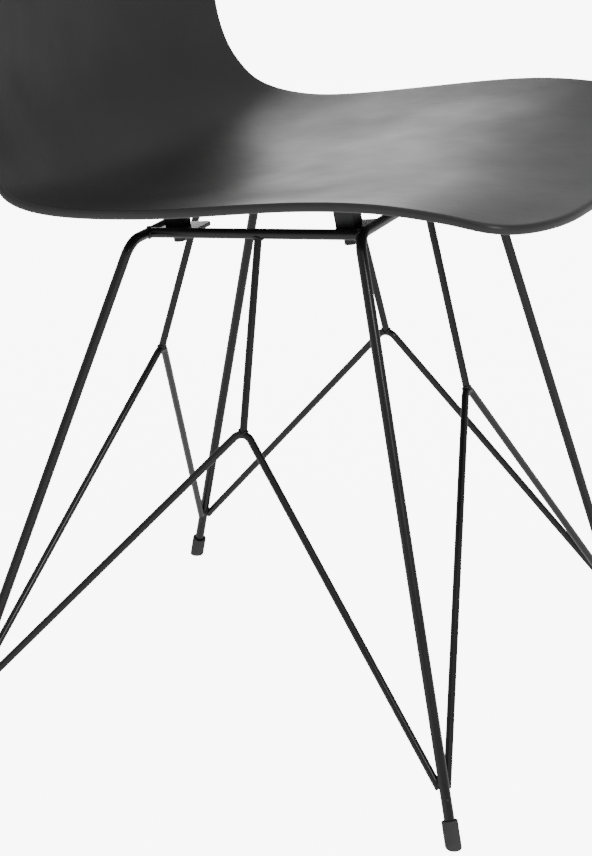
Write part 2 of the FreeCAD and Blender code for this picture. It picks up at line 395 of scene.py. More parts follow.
@dataclass(frozen=True)
class MouldedShell(Finish):
    """Satin black moulded plastic with a faint grain along the flow of the mould."""

    base: float = 0.026
    # The rim's lighter grey is painted sheen: it stands for light caught by the rounded rim, not a
    # colour of the plastic.
    rim_base: float = 0.034
    roughness: float = 0.44
    roughness_spread: float = 0.07
    grain_across: float = 1500.0
    grain_along: float = 45.0
    grain_depth: float = 0.010 * MM
    grain_polish: float = 0.04
    fleck_span: tuple[float, float] = (0.35, 0.75)
    pebble_scale: float = 1400.0
    pebble_depth: float = 0.006 * MM
    blotch_scale: float = 9.0
    # How much of the rim's painted sheen shows in its colour.
    rim_share: float = 0.5
    rim_polish: float = 0.06

    def patterns(self, graph: NodeGraph, where: bpy.types.NodeSocket) -> tuple:
        """Add the grain, the fine pebble, soft blotches, the polished rim, and painted sheen that
        lightens the rim's colour.

        Args:
            graph: the material's nodes.
            where: object coordinates in metres.

        Returns:
            The sockets of the colour, the roughness and the normal.
        """
        laid = graph.add("ShaderNodeUVMap", uv_map=SeatShell.GRAIN_MAP).outputs[0]
        stretch = (self.grain_across, self.grain_along, 1.0)
        mapping = graph.add("ShaderNodeMapping", {"Vector": laid, "Scale": stretch})
        stretched = mapping.outputs[0]
        grain = graph.noise(stretched, 1.0, 3.0)
        pebble = graph.noise(where, self.pebble_scale)
        blotch = graph.noise(where, self.blotch_scale, 3.0)
        rim = graph.add("ShaderNodeAttribute", attribute_name=SeatShell.RIM_MAP).outputs["Fac"]
        flecks = graph.remap(grain, *self.fleck_span, 0.0, 1.0)
        flecked = graph.blend(flecks, grey(0.9 * self.base), grey(1.15 * self.base))
        # Painted sheen: the rim's colour is blended toward a lighter grey where its rounding
        # catches light.
        rim_sheen_cover = graph.maths("MULTIPLY", rim, self.rim_share)
        colour = graph.blend(rim_sheen_cover, flecked, grey(self.rim_base))
        worn = graph.vary(blotch, self.roughness, self.roughness_spread, self.roughness_spread)
        streaks = graph.vary(grain, 0.0, self.grain_polish, self.grain_polish)
        streaked = graph.maths("ADD", worn, streaks)
        polish = graph.remap(rim, 0.0, 1.0, 0.0, self.rim_polish)
        roughness = graph.maths("SUBTRACT", streaked, polish)
        normal = graph.bump(pebble, self.pebble_depth, 0.5)
        normal = graph.bump(grain, self.grain_depth, 0.6, normal)
        return colour, roughness, normal


@dataclass(frozen=True)
class PowderCoat(Finish):
    """Semi-gloss black powder coat with orange peel, and scuffs near the floor."""

    base: float = 0.011
    scuffed: float = 0.045
    roughness: float = 0.24
    scuffed_roughness: float = 0.2
    peel_scale: float = 420.0
    peel_depth: float = 0.03 * MM
    cloud_scale: float = 30.0
    mark_scale: float = 260.0
    mark_span: tuple[float, float] = (0.66, 0.74)
    scuff_heights: tuple[float, float] = (0.02, 0.20)
    scuff_above: float = 0.15

    def patterns(self, graph: NodeGraph, where: bpy.types.NodeSocket) -> tuple:
        """Add the orange peel, dust specks and the scuffs of feet on the lower rods.

        Args:
            graph: the material's nodes.
            where: object coordinates in metres.

        Returns:
            The sockets of the colour, the roughness and the normal.
        """
        peel = graph.noise(where, self.peel_scale)
        cloud = graph.noise(where, self.cloud_scale, 3.0)
        marks = graph.noise(where, self.mark_scale, 4.0)
        height = graph.add("ShaderNodeSeparateXYZ", {0: where}).outputs["Z"]
        low = graph.remap(height, *self.scuff_heights, 1.0, self.scuff_above)
        marked = graph.remap(marks, *self.mark_span, 0.0, 1.0)
        scuff = graph.maths("MULTIPLY", marked, low)
        coat = graph.blend(cloud, grey(0.85 * self.base), grey(1.2 * self.base))
        colour = graph.blend(scuff, coat, grey(self.scuffed))
        even = graph.vary(cloud, self.roughness, 0.05, 0.06)
        dulled = graph.remap(scuff, 0.0, 1.0, 0.0, self.scuffed_roughness)
        roughness = graph.maths("ADD", even, dulled)
        return colour, roughness, graph.bump(peel, self.peel_depth, 0.5)


@dataclass(frozen=True)
class CapPlastic(Finish):
    """Matt dark grey soft plastic, dusty where it meets the floor."""

    base: float = 0.055
    dusty: float = 0.10
    roughness: float = 0.72
    texture_scale: float = 1800.0
    texture_depth: float = 0.02 * MM
    cloud_scale: float = 220.0
    dust_height: float = 6 * MM
    dust_cover: float = 0.9
    dust_span: tuple[float, float] = (0.4, 0.65)

    def patterns(self, graph: NodeGraph, where: bpy.types.NodeSocket) -> tuple:
        """Add a fine moulded texture and a dusty lower edge.

        Args:
            graph: the material's nodes.
            where: object coordinates in metres.

        Returns:
            The sockets of the colour, the roughness and the normal.
        """
        texture = graph.noise(where, self.texture_scale, 3.0)
        cloud = graph.noise(where, self.cloud_scale, 4.0)
        height = graph.add("ShaderNodeSeparateXYZ", {0: where}).outputs["Z"]
        low = graph.remap(height, 0.0, self.dust_height, self.dust_cover, 0.0)
        patches = graph.remap(cloud, *self.dust_span, 0.0, 1.0)
        dust = graph.maths("MULTIPLY", low, patches)
        body = graph.blend(cloud, grey(0.85 * self.base), grey(1.15 * self.base))
        colour = graph.blend(dust, body, grey(self.dusty))
        roughness = graph.vary(cloud, self.roughness, 0.08, 0.1)
        return colour, roughness, graph.bump(texture, self.texture_depth, 0.6)


@dataclass(frozen=True)
class TurnedMetal(Finish):
    """Turned and plated metal, with fine turning marks and a mottled plating."""

    colour_low: tuple[float, float, float, float] = grey(0.03)
    colour_high: tuple[float, float, float, float] = grey(0.06)
    roughness: float = 0.36
    mark_scale: float = 5000.0
    mark_stretch: tuple[float, float, float] = (0.05, 0.05, 1.0)
    mark_depth: float = 0.004 * MM
    mottle_scale: float = 600.0
    mottle_span: tuple[float, float] = (0.35, 0.7)

    def patterns(self, graph: NodeGraph, where: bpy.types.NodeSocket) -> tuple:
        """Add the turning marks and the mottling.

        Args:
            graph: the material's nodes.
            where: object coordinates in metres.

        Returns:
            The sockets of the colour, the roughness and the normal.
        """
        mapping = graph.add("ShaderNodeMapping", {"Vector": where, "Scale": self.mark_stretch})
        marks = graph.noise(mapping.outputs[0], self.mark_scale, 2.0)
        mottle = graph.noise(where, self.mottle_scale, 4.0)
        spread = graph.remap(mottle, *self.mottle_span, 0.0, 1.0)
        colour = graph.blend(spread, self.colour_low, self.colour_high)
        roughness = graph.vary(mottle, self.roughness, 0.08, 0.1)
        return colour, roughness, graph.bump(marks, self.mark_depth, 0.5)


# Geometry Nodes trees for what follows a path or repeats


class PathTree:
    """A Geometry Nodes tree that is applied to a path and gives a plain mesh."""

    def __init__(self, name: str, inputs: dict[str, str]) -> None:
        """Make an empty tree.

        Args:
            name: the tree's name.
            inputs: the name and the socket type of each size that it takes.
        """
        self.tree = bpy.data.node_groups.new(name, "GeometryNodeTree")
        face = self.tree.interface
        face.new_socket("Path", in_out="INPUT", socket_type="NodeSocketGeometry")
        self.keys = {
            label: face.new_socket(label, in_out="INPUT", socket_type=kind).identifier
            for label, kind in inputs.items()
        }
        face.new_socket("Piece", in_out="OUTPUT", socket_type="NodeSocketGeometry")
        self.graph = NodeGraph(self.tree)
        self.given = self.graph.add("NodeGroupInput").outputs

    def close(self, geometry: bpy.types.NodeSocket, finish: bpy.types.NodeSocket) -> None:
        """End the tree in real geometry with its material.

        Args:
            geometry: what the tree made.
            finish: the material.
        """
        real = self.graph.add("GeometryNodeRealizeInstances", {0: geometry}).outputs[0]
        dressed = self.graph.add("GeometryNodeSetMaterial", {"Geometry": real, "Material": finish})
        self.graph.add("NodeGroupOutput", {0: dressed.outputs[0]})

    def run(self, path: bpy.types.Object, name: str, values: dict[str, object]) -> bpy.types.Object:
        """Apply the tree to a path object, which is used up.

        Args:
            path: the object that holds the path.
            name: the name of the piece.
            values: the tree's inputs by their names.

        Returns:
            The piece as a plain mesh object at the origin.
        """
        modifier = path.modifiers.new("tree", "NODES")
        modifier.node_group = self.tree
        for label, value in values.items():
            modifier[self.keys[label]] = value
        graph = bpy.context.evaluated_depsgraph_get()
        mesh = bpy.data.meshes.new_from_object(path.evaluated_get(graph))
        mesh.name = name
        path.modifiers.remove(modifier)
        bpy.data.objects.remove(path)
        return link(name, mesh)

    def sweep(
        self, curve: bpy.types.NodeSocket, steps: bpy.types.NodeSocket, radius: bpy.types.NodeSocket
    ) -> bpy.types.NodeSocket:
        """Sweep a round section along a curve.

        Args:
            curve: the curve.
            steps: how many sides the section has.
            radius: its radius.

        Returns:
            The swept mesh, closed at its ends.
        """
        circle = {"Resolution": steps, "Radius": radius}
        section = self.graph.add("GeometryNodeCurvePrimitiveCircle", circle).outputs[0]
        inputs = {"Curve": curve, "Profile Curve": section, "Fill Caps": True}
        return self.graph.add("GeometryNodeCurveToMesh", inputs).outputs[0]


def rod_tree() -> PathTree:
    """Build the tree that bends a round rod along a path.

    Returns:
        A tree with the rod's radius, its bend radius and its steps as inputs.
    """
    made = PathTree(
        "bent_rod",
        {
            "Rod Radius": "NodeSocketFloat",
            "Bend Radius": "NodeSocketFloat",
            "Bend Steps": "NodeSocketInt",
            "Round Steps": "NodeSocketInt",
            "Finish": "NodeSocketMaterial",
        },
    )
    graph, given = made.graph, made.given
    line = graph.add("GeometryNodeMeshToCurve", {"Mesh": given["Path"]}).outputs[0]
    bent = graph.add(
        "GeometryNodeFilletCurve",
        {"Curve": line, "Count": given["Bend Steps"], "Radius": given["Bend Radius"]},
        mode="POLY",
    ).outputs[0]
    rod = made.sweep(bent, given["Round Steps"], given["Rod Radius"])
    made.close(rod, given["Finish"])
    return made


def bead_tree() -> PathTree:
    """Build the tree that lays a rippled weld bead along a path.

    Returns:
        A tree with the bead's radius, its ripple and its seed as inputs.
    """
    made = PathTree(
        "weld_bead",
        {
            "Bead Radius": "NodeSocketFloat",
            "Ripple Length": "NodeSocketFloat",
            "Ripple Height": "NodeSocketFloat",
            "Step Length": "NodeSocketFloat",
            "Round Steps": "NodeSocketInt",
            "Seed": "NodeSocketFloat",
            "Finish": "NodeSocketMaterial",
        },
    )
    graph, given = made.graph, made.given
    line = graph.add("GeometryNodeMeshToCurve", {"Mesh": given["Path"]}).outputs[0]
    even = graph.add(
        "GeometryNodeResampleCurve", {"Curve": line, "Length": given["Step Length"]}, mode="LENGTH"
    ).outputs[0]
    bead = made.sweep(even, given["Round Steps"], given["Bead Radius"])
    where = graph.add("GeometryNodeInputPosition").outputs[0]
    ripples = graph.maths("DIVIDE", 1.0, given["Ripple Length"])
    pattern = {"Vector": where, "W": given["Seed"], "Scale": ripples, "Detail": 1.0}
    noise = graph.add("ShaderNodeTexNoise", pattern, noise_dimensions="4D").outputs[0]
    centred = graph.maths("SUBTRACT", noise, 0.5)
    rise = graph.maths("MULTIPLY", centred, given["Ripple Height"])
    outward = graph.add("GeometryNodeInputNormal").outputs[0]
    shift = graph.add("ShaderNodeVectorMath", {0: outward, "Scale": rise}, operation="SCALE")
    rippled = graph.add("GeometryNodeSetPosition", {"Geometry": bead, "Offset": shift.outputs[0]})
    made.close(rippled.outputs[0], given["Finish"])
    return made


def fastener_tree() -> PathTree:
    """Build the tree that sets a fastener on every mounting point.

    Returns:
        A tree with the fastener, its turn and how far each one spins on from the last.
    """
    made = PathTree(
        "fastener_row",
        {
            "Fastener": "NodeSocketObject",
            "Turn": "NodeSocketRotation",
            "Spin Step": "NodeSocketFloat",
            "Finish": "NodeSocketMaterial",
        },
    )
    graph, given = made.graph, made.given
    one = graph.add("GeometryNodeObjectInfo", {"Object": given["Fastener"]}).outputs["Geometry"]
    number = graph.add("GeometryNodeInputIndex").outputs[0]
    spin = graph.maths("MULTIPLY", number, given["Spin Step"])
    own_turn = graph.add("FunctionNodeAxisAngleToRotation", {"Axis": Z_AXIS, "Angle": spin})
    turns = {0: given["Turn"], 1: own_turn.outputs[0]}
    turn = graph.add("FunctionNodeRotateRotation", turns, rotation_space="LOCAL").outputs[0]
    placing = {"Points": given["Path"], "Instance": one, "Rotation": turn}
    row = graph.add("GeometryNodeInstanceOnPoints", placing)
    made.close(row.outputs[0], given["Finish"])
    return made


# What each piece needs before it belongs to the chair


@dataclass
class Workshop:
    """The finishes and trees that the pieces share, and how a piece is handed over."""

    shell: bpy.types.Material = field(init=False)
    paint: bpy.types.Material = field(init=False)
    cap: bpy.types.Material = field(init=False)
    steel: bpy.types.Material = field(init=False)
    brass: bpy.types.Material = field(init=False)
    rod: PathTree = field(init=False)
    bead: PathTree = field(init=False)
    fastener: PathTree = field(init=False)

    def __post_init__(self) -> None:
        """Build the materials and the trees."""
        self.shell = MouldedShell("satin_black_shell").material()
        self.paint = PowderCoat("black_powder_coat").material()
        self.cap = CapPlastic("dark_grey_cap").material()
        self.steel = TurnedMetal("blackened_steel", metallic=0.85).material()
        self.brass = TurnedMetal(
            "plain_brass",
            metallic=1.0,
            colour_low=(0.50, 0.36, 0.14, 1.0),
            colour_high=(0.66, 0.50, 0.22, 1.0),
            roughness=0.3,
        ).material()
        self.rod = rod_tree()
        self.bead = bead_tree()
        self.fastener = fastener_tree()

    def hand_over(
        self,
        piece: bpy.types.Object,
        finish: bpy.types.Material,
        nodes: Sequence[str] = (),
    ) -> None:
        """Give a piece its finish and its body, and report it.

        Args:
            piece: a finished mesh object.
            finish: its material.
            nodes: the CAD nodes that it stands for.
        """
        piece.data.materials.clear()
        piece.data.materials.append(finish)
        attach(piece, "root")
        if nodes:
            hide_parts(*nodes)
        low = [min(vertex.co[axis] for vertex in piece.data.vertices) for axis in range(3)]
        high = [max(vertex.co[axis] for vertex in piece.data.vertices) for axis in range(3)]
        off = 0.0
        if nodes:
            boxes = [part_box(node) for node in nodes]
            off = max(
                max(abs(min(box[0][axis] for box in boxes) - low[axis]) for axis in range(3)),
                max(abs(max(box[1][axis] for box in boxes) - high[axis]) for axis in range(3)),
            )
        count = len(piece.data.polygons)
        log.info("%s: %d faces, %.2f mm off its node's box", piece.name, count, off / MM)


# The welded base


@dataclass
class WireBase:
    """Two leg bows, two rails, four V braces and four struts of welded round rod."""

    leg_rod_diameter: float = 8 * MM
    brace_rod_diameter: float = 6 * MM
    leg_bend_radius: float = 16 * MM
    brace_bend_radius: float = 9 * MM
    front_foot_y: float = -211.8 * MM
    rear_foot_y: float = 214.7 * MM
    front_foot_half_width: float = 223.7 * MM
    rear_foot_half_width: float = 227.5 * MM
    front_bar_half_width: float = 134.8 * MM
    rear_bar_half_width: float = 120 * MM
    front_bar_y: float = -98.6 * MM
    rear_bar_y: float = 95.9 * MM
    front_bar_height: float = 431.1 * MM
    rear_bar_height: float = 403.8 * MM
    rail_front_inset: float = 6 * MM
    rail_front_drop: float = 1.2 * MM
    rail_rear_inset: float = 30 * MM
    front_peak: Vector = field(default_factory=lambda: Vector((0, -135.5, 282.5)) * MM)
    rear_peak: Vector = field(default_factory=lambda: Vector((0, 131, 285)) * MM)
    right_peak: Vector = field(default_factory=lambda: Vector((-147, -10.5, 275.5)) * MM)
    front_brace_foot_share: float = 0.076
    rear_brace_foot_share: float = 0.102
    right_strut_share: float = 0.469
    left_strut_share: float = 0.556
    strut_end_setback: float = 1 * MM
    brace_end_setback: float = 11 * MM
    cap_floor: float = 5 * MM
    round_steps: int = 40
    bend_steps: int = 24
    bead_radius: float = 1.0 * MM
    bead_sink: float = 0.2
    bead_points: int = 48
    bead_ripple_length: float = 1.6 * MM
    bead_ripple_height: float = 0.9 * MM
    bead_step_length: float = 0.5 * MM
    bead_round_steps: int = 12
    bead_seed: float = 3.0
    rod_sharp_angle: float = 50
    bead_sharp_angle: float = 70

    def __post_init__(self) -> None:
        """Work out the base's corners, feet and joints on its right-hand side."""
        self.front_top = Vector((0, self.front_bar_y, self.front_bar_height))
        self.rear_top = Vector((0, self.rear_bar_y, self.rear_bar_height))
        self.front_corner = self.front_top - X_AXIS * self.front_bar_half_width
        self.rear_corner = self.rear_top - X_AXIS * self.rear_bar_half_width
        self.front_foot = Vector((-self.front_foot_half_width, self.front_foot_y, 0))
        self.rear_foot = Vector((-self.rear_foot_half_width, self.rear_foot_y, 0))
        rail_offset = Vector((self.rail_front_inset, 0, -self.rail_front_drop))
        self.rail_front = self.front_corner + rail_offset
        self.rail_rear = self.rear_corner + Vector((self.rail_rear_inset, 0, 0))
        self.front_joint = self.front_foot.lerp(self.front_corner, self.front_brace_foot_share)
        self.rear_joint = self.rear_foot.lerp(self.rear_corner, self.rear_brace_foot_share)
        self.right_peak_middle = self.bend_top(self.front_joint, self.right_peak, self.rear_joint)

    @property
    def plane(self) -> Matrix:
        """Return the top frame's plane: x across, y back along the rails, z out of it."""
        rise = self.front_bar_height - self.rear_bar_height
        run = self.rear_bar_y - self.front_bar_y
        place = Matrix.Translation((0, self.front_bar_y, self.front_bar_height))
        return place @ Matrix.Rotation(-math.atan2(rise, run), 4, "X")

    @property
    def plane_length(self) -> float:
        """Return the distance between the cross bars in the frame's plane."""
        rise = self.front_bar_height - self.rear_bar_height
        return math.hypot(rise, self.rear_bar_y - self.front_bar_y)

    def bend_top(self, first: Vector, peak: Vector, second: Vector) -> Vector:
        """Find the middle of a brace's bend.

        Args:
            first: the brace's first foot.
            peak: the corner of its two straight runs.
            second: its second foot.

        Returns:
            The middle of the bend, on the rod's centre line.
        """
        back = (first - peak).normalized()
        ahead = (second - peak).normalized()
        half_angle = back.angle(ahead) / 2
        inset = self.brace_bend_radius / math.sin(half_angle) - self.brace_bend_radius
        return peak + (back + ahead).normalized() * inset

    def rod_end(self, foot: Vector, corner: Vector) -> Vector:
        """Return where a leg's rod ends, on the floor of its cap."""
        axis = (corner - foot).normalized()
        return foot + axis * (self.cap_floor / axis.z)

    def brace_end(self, joint: Vector, peak: Vector) -> Vector:
        """Return where a brace's rod ends, short of the leg's centre line."""
        return joint + (peak - joint).normalized() * self.brace_end_setback

    def rod_paths(self) -> dict[str, tuple[list[Vector], float, float]]:
        """List the rods.

        Returns:
            The points, the diameter and the bend radius of each rod, by its node's name.
        """
        thick, thin = self.leg_rod_diameter, self.brace_rod_diameter
        wide, tight = self.leg_bend_radius, self.brace_bend_radius
        paths = {}
        for end, foot, corner in (
            ("front", self.front_foot, self.front_corner),
            ("rear", self.rear_foot, self.rear_corner),
        ):
            tip = self.rod_end(foot, corner)
            paths[f"{end}_leg_bow"] = ([tip, corner, mirrored(corner), mirrored(tip)], thick, wide)
        for end, joint, peak in (
            ("front", self.front_joint, self.front_peak),
            ("rear", self.rear_joint, self.rear_peak),
        ):
            tip = self.brace_end(joint, peak)
            paths[f"{end}_v_brace"] = ([tip, peak, mirrored(tip)], thin, tight)
        rail = [self.rail_front, self.rail_rear]
        brace = [
            self.brace_end(self.front_joint, self.right_peak),
            self.right_peak,
            self.brace_end(self.rear_joint, self.right_peak),
        ]
        paths["right_side_rail"] = (rail, thick, wide)
        paths["left_side_rail"] = ([mirrored(p) for p in rail], thick, wide)
        paths["right_v_brace"] = (brace, thin, tight)
        paths["left_v_brace"] = ([mirrored(p) for p in brace], thin, tight)
        for name, (top, bottom, _, _) in self.struts().items():
            end = bottom + (top - bottom).normalized() * self.strut_end_setback
            paths[name] = ([top, end], thin, tight)
        return paths

    def struts(self) -> dict[str, tuple[Vector, Vector, Vector, Vector]]:
        """List the struts.

        Returns:
            For each strut its top, its bottom, and the directions of what it meets there.
        """
        front_bottom = self.bend_top(self.front_joint, self.front_peak, mirrored(self.front_joint))
        rear_bottom = self.bend_top(self.rear_joint, self.rear_peak, mirrored(self.rear_joint))
        rail_way = (self.rail_rear - self.rail_front).normalized()
        brace_way = (self.rear_joint - self.front_joint).normalized()
        right_top = self.rail_front.lerp(self.rail_rear, self.right_strut_share)
        left_top = mirrored(self.rail_front.lerp(self.rail_rear, self.left_strut_share))
        right_bottom = self.right_peak_middle
        left_bottom = mirrored(right_bottom)
        return {
            "front_strut": (self.front_top, front_bottom, X_AXIS, X_AXIS),
            "rear_strut": (self.rear_top, rear_bottom, X_AXIS, X_AXIS),
            "right_strut": (right_top, right_bottom, rail_way, brace_way),
            "left_strut": (left_top, left_bottom, mirrored(rail_way), mirrored(brace_way)),
        }

    def saddle(
        self,
        joint: Vector,
        way: Vector,
        rod: float,
        through: Vector,
        other: float,
        rod_start: float = 0.0,
    ) -> list[Vector]:
        """Trace the crevice between the end of one rod and the side of another.

        Args:
            joint: where the two centre lines meet.
            way: the direction of the ending rod, away from the joint.
            rod: the diameter of the ending rod.
            through: the direction of the other rod.
            other: the diameter of the other rod.
            rod_start: how far from the joint the ending rod is cut square.

        Returns:
            The points of a closed line for the weld bead, straight across a square cut.
        """
        lift = self.bead_radius * self.bead_sink
        reach, side = rod / 2 + lift, other / 2 + lift
        way, through = way.normalized(), through.normalized()
        across = way.cross(through).normalized()
        along = across.cross(way)
        crosswise = way - through * way.dot(through)
        points, kept = [], []
        for step in range(self.bead_points):
            angle = math.tau * step / self.bead_points
            start = (across * math.cos(angle) + along * math.sin(angle)) * reach
            flat = start - through * start.dot(through)
            square, linear = crosswise.length_squared, flat.dot(crosswise)
            constant = flat.length_squared - side**2
            inside = max(linear**2 - square * constant, 0)
            root = (-linear + math.sqrt(inside)) / square
            points.append(joint + start + way * root)
            kept.append(root >= rod_start)
        if all(kept):
            return points
        first = next(i for i in range(len(kept)) if kept[i] and not kept[i - 1])
        turned = [(i + first) % len(kept) for i in range(len(kept))]
        return [points[i] for i in turned if kept[i]]

    def weld_lines(self) -> list[list[Vector]]:
        """List the welds.

        Returns:
            The closed line of each weld bead, on both sides of the chair.
        """
        thick, thin = self.leg_rod_diameter, self.brace_rod_diameter
        lines = []
        for name, (top, bottom, top_way, bottom_way) in self.struts().items():
            axis = top - bottom
            lines.append(self.saddle(top, -axis, thin, top_way, thick))
            lines.append(self.saddle(bottom, axis, thin, bottom_way, thin))
        right_side = []
        for joint, foot, corner, own_peak in (
            (self.front_joint, self.front_foot, self.front_corner, self.front_peak),
            (self.rear_joint, self.rear_foot, self.rear_corner, self.rear_peak),
        ):
            leg, cut = corner - foot, self.brace_end_setback
            for peak in (self.right_peak, own_peak):
                right_side.append(self.saddle(joint, peak - joint, thin, leg, thick, cut))
        bend_way = (self.front_corner - self.front_foot).normalized() + X_AXIS
        rail = self.rail_rear - self.rail_front
        right_side.append(self.saddle(self.rail_front, rail, thick, bend_way, thick))
        right_side.append(self.saddle(self.rail_rear, -rail, thick, X_AXIS, thick))
        for line in right_side:
            lines.append(line)
            lines.append([mirrored(point) for point in line])
        return lines

    def build(self, shop: Workshop) -> None:
        """Make the rods and their weld beads.

        Args:
            shop: the shared finishes and trees.
        """
        for node, (points, diameter, bend_radius) in self.rod_paths().items():
            edges = [(i, i + 1) for i in range(len(points) - 1)]
            path = new_object(f"{node}_path", points, (), edges)
            rod = shop.rod.run(
                path,
                f"{node}_coated",
                {
                    "Rod Radius": diameter / 2,
                    "Bend Radius": bend_radius,
                    "Bend Steps": self.bend_steps,
                    "Round Steps": self.round_steps,
                    "Finish": shop.paint,
                },
            )
            shade(rod, self.rod_sharp_angle)
            shop.hand_over(rod, shop.paint, [node])
        points, edges = [], []
        for line in self.weld_lines():
            first = len(points)
            points += line
            edges += [(first + i, first + (i + 1) % len(line)) for i in range(len(line))]
        path = new_object("weld_paths", points, (), edges)
        beads = shop.bead.run(
            path,
            "weld_beads",
            {
                "Bead Radius": self.bead_radius,
                "Ripple Length": self.bead_ripple_length,
                "Ripple Height": self.bead_ripple_height,
                "Step Length": self.bead_step_length,
                "Round Steps": self.bead_round_steps,
                "Seed": self.bead_seed,
                "Finish": shop.paint,
            },
        )
        shade(beads, self.bead_sharp_angle)
        shop.hand_over(beads, shop.paint)


# The plates that carry the shell


@dataclass
class MountPlates:
    """Four corner plates, welded into the top frame, with softened edges."""

    edge_softening: float = 0.35 * MM
    edge_segments: int = 2
    flat_angle: float = 0.5
    corner_angle: float = 60
    sharp_angle: float = 30

    def build(self, shop: Workshop) -> None:
        """Make a softened copy of each plate.

        Args:
            shop: the shared finishes and trees.
        """
        for end in ("front", "rear"):
            for side in Side:
                node = f"{end}_{side.word}_mount_plate"
                work = bmesh.new()
                work.from_mesh(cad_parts[node].data)
                bmesh.ops.remove_doubles(work, verts=work.verts, dist=MERGE_DISTANCE)
                flat = math.radians(self.flat_angle)
                bmesh.ops.dissolve_limit(work, angle_limit=flat, verts=work.verts, edges=work.edges)
                least = math.radians(self.corner_angle)
                corners = [edge for edge in work.edges if edge.calc_face_angle(0) > least]
                bmesh.ops.bevel(
                    work,
                    geom=corners,
                    offset=self.edge_softening,
                    segments=self.edge_segments,
                    affect="EDGES",
                )
                mesh = bpy.data.meshes.new(f"{node}_softened")
                work.to_mesh(mesh)
                work.free()
                piece = link(f"{node}_softened", mesh)
                shade(piece, self.sharp_angle)
                shop.hand_over(piece, shop.paint, [node])


# The moulded shell


@dataclass
class SeatShell:
    """One moulded skin that runs from the front edge to the top of the back."""

    base: WireBase
    thickness: float = 7 * MM
    front_corner_width: float = 90 * MM
    front_corner_depth: float = 45 * MM
    top_corner_width: float = 120 * MM
    top_corner_depth: float = 85 * MM
    rim_squareness: float = 2.6
    rim_steps: int = 14
    front_corner_rows: int = 16
    inner_rows: int = 130
    top_corner_rows: int = 24
    columns: int = 72
    length_samples: int = 4000
    underside_samples: int = 400
    sharp_angle: float = 50

    GRAIN_MAP = "grain"
    RIM_MAP = "rim"

    # Centre line of the upper face in the frame's plane: distance behind the front bar, height
    SPINE = (
        (-173.9, 11.8),
        (-110.1, 19.9),
        (-35.8, 29.2),
        (65.2, 29.5),
        (146.3, 26.5),
        (206.8, 28.5),
        (254.8, 46.5),
        (279.5, 86.8),
        (286.5, 150.1),
        (290.2, 251.7),
        (296.8, 343.5),
        (303.5, 430.3),
    )
    # Half width, and the rise of the edges above the centre line, at shares of the spine
    HALF_WIDTHS = (
        (0.00, 236.0),
        (0.10, 239.0),
        (0.20, 246.0),
        (0.32, 243.0),
        (0.42, 232.0),
        (0.50, 228.5),
        (0.55, 216.0),
        (0.60, 201.0),
        (0.66, 194.0),
        (0.76, 208.0),
        (0.88, 222.0),
        (1.00, 214.0),
    )
    EDGE_RISES = (
        (0.000, 6.5),
        (0.025, 7.8),
        (0.050, 10.4),
        (0.085, 14.0),
        (0.150, 17.3),
        (0.350, 20.0),
        (0.500, 27.0),
        (0.600, 33.0),
        (0.800, 32.0),
        (1.000, 24.0),
    )

    def __post_init__(self) -> None:
        """Fit the centre line and measure it."""
        self.knots = np.array(self.SPINE) * MM
        chords = np.linalg.norm(np.diff(self.knots, axis=0), axis=1)
        self.times = np.concatenate([[0], np.cumsum(chords)])
        self.slopes = self.fit_slopes(chords)
        samples = np.linspace(0, self.times[-1], self.length_samples)
        steps = np.linalg.norm(np.diff(self.at_times(samples)[0], axis=0), axis=1)
        self.sample_times = samples
        self.sample_lengths = np.concatenate([[0], np.cumsum(steps)])
        self.length = self.sample_lengths[-1]

    def fit_slopes(self, chords: np.ndarray) -> np.ndarray:
        """Find the slopes of the smooth curve through the spine's points.

        Args:
            chords: the distances between the points.

        Returns:
            The curve's slope at each point.
        """
        count = len(self.knots)
        system = np.zeros((count, count))
        known = np.zeros((count, 2))
        for i in range(1, count - 1):
            before, after = chords[i - 1], chords[i]
            system[i, i - 1 : i + 2] = 1 / before, 2 / before + 2 / after, 1 / after
            known[i] = 3 * (self.knots[i] - self.knots[i - 1]) / before**2
            known[i] += 3 * (self.knots[i + 1] - self.knots[i]) / after**2
        for end, run in ((0, slice(0, 4)), (count - 1, slice(count - 4, count))):
            system[end, end] = 1
            cubic = np.polyfit(self.times[run] - self.times[end], self.knots[run], 3)
            known[end] = cubic[2]
        return np.linalg.solve(system, known)

    def at_times(self, times: np.ndarray) -> tuple[np.ndarray, np.ndarray]:
        """Read the centre line.

        Args:
            times: where to read it, in the measure of its points' chords.

        Returns:
            The points, and the unit tangents there.
        """
        index = np.clip(np.searchsorted(self.times, times) - 1, 0, len(self.times) - 2)
        span = (self.times[index + 1] - self.times[index])[:, None]
        t = (times - self.times[index])[:, None] / span
        start, end = self.knots[index], self.knots[index + 1]
        out, into = self.slopes[index] * span, self.slopes[index + 1] * span
        points = (
            start * (1 + 2 * t) * (1 - t) ** 2
            + end * t**2 * (3 - 2 * t)
            + out * t * (1 - t) ** 2
            - into * t**2 * (1 - t)
        )
        tangents = (end - start) * 6 * t * (1 - t)
        tangents += out * (1 - t) * (1 - 3 * t) + into * t * (3 * t - 2)
        return points, tangents / np.linalg.norm(tangents, axis=1)[:, None]

    def skin(self, distances: np.ndarray, x: np.ndarray, depth: np.ndarray | float) -> np.ndarray:
        """Place points on the shell.

        Args:
            distances: distances along the centre line, one for each row.
            x: how far each point is from the middle, in rows and columns.
            depth: how far it is below the upper face.

        Returns:
            The points in the frame's plane, in rows and columns.
        """
        times = np.interp(distances, self.sample_lengths, self.sample_times)
        points, tangents = self.at_times(times)
        shares = distances / self.length
        widths = smooth_value(self.HALF_WIDTHS, shares)[:, None] * MM
        rises = smooth_value(self.EDGE_RISES, shares)[:, None] * MM * (x / widths) ** 2
        lift = rises - depth
        back = points[:, 0][:, None] - tangents[:, 1][:, None] * lift
        height = points[:, 1][:, None] + tangents[:, 0][:, None] * lift
        spread = [np.broadcast_to(part, x.shape) for part in (x, back, height)]
        return np.stack(spread, axis=-1)

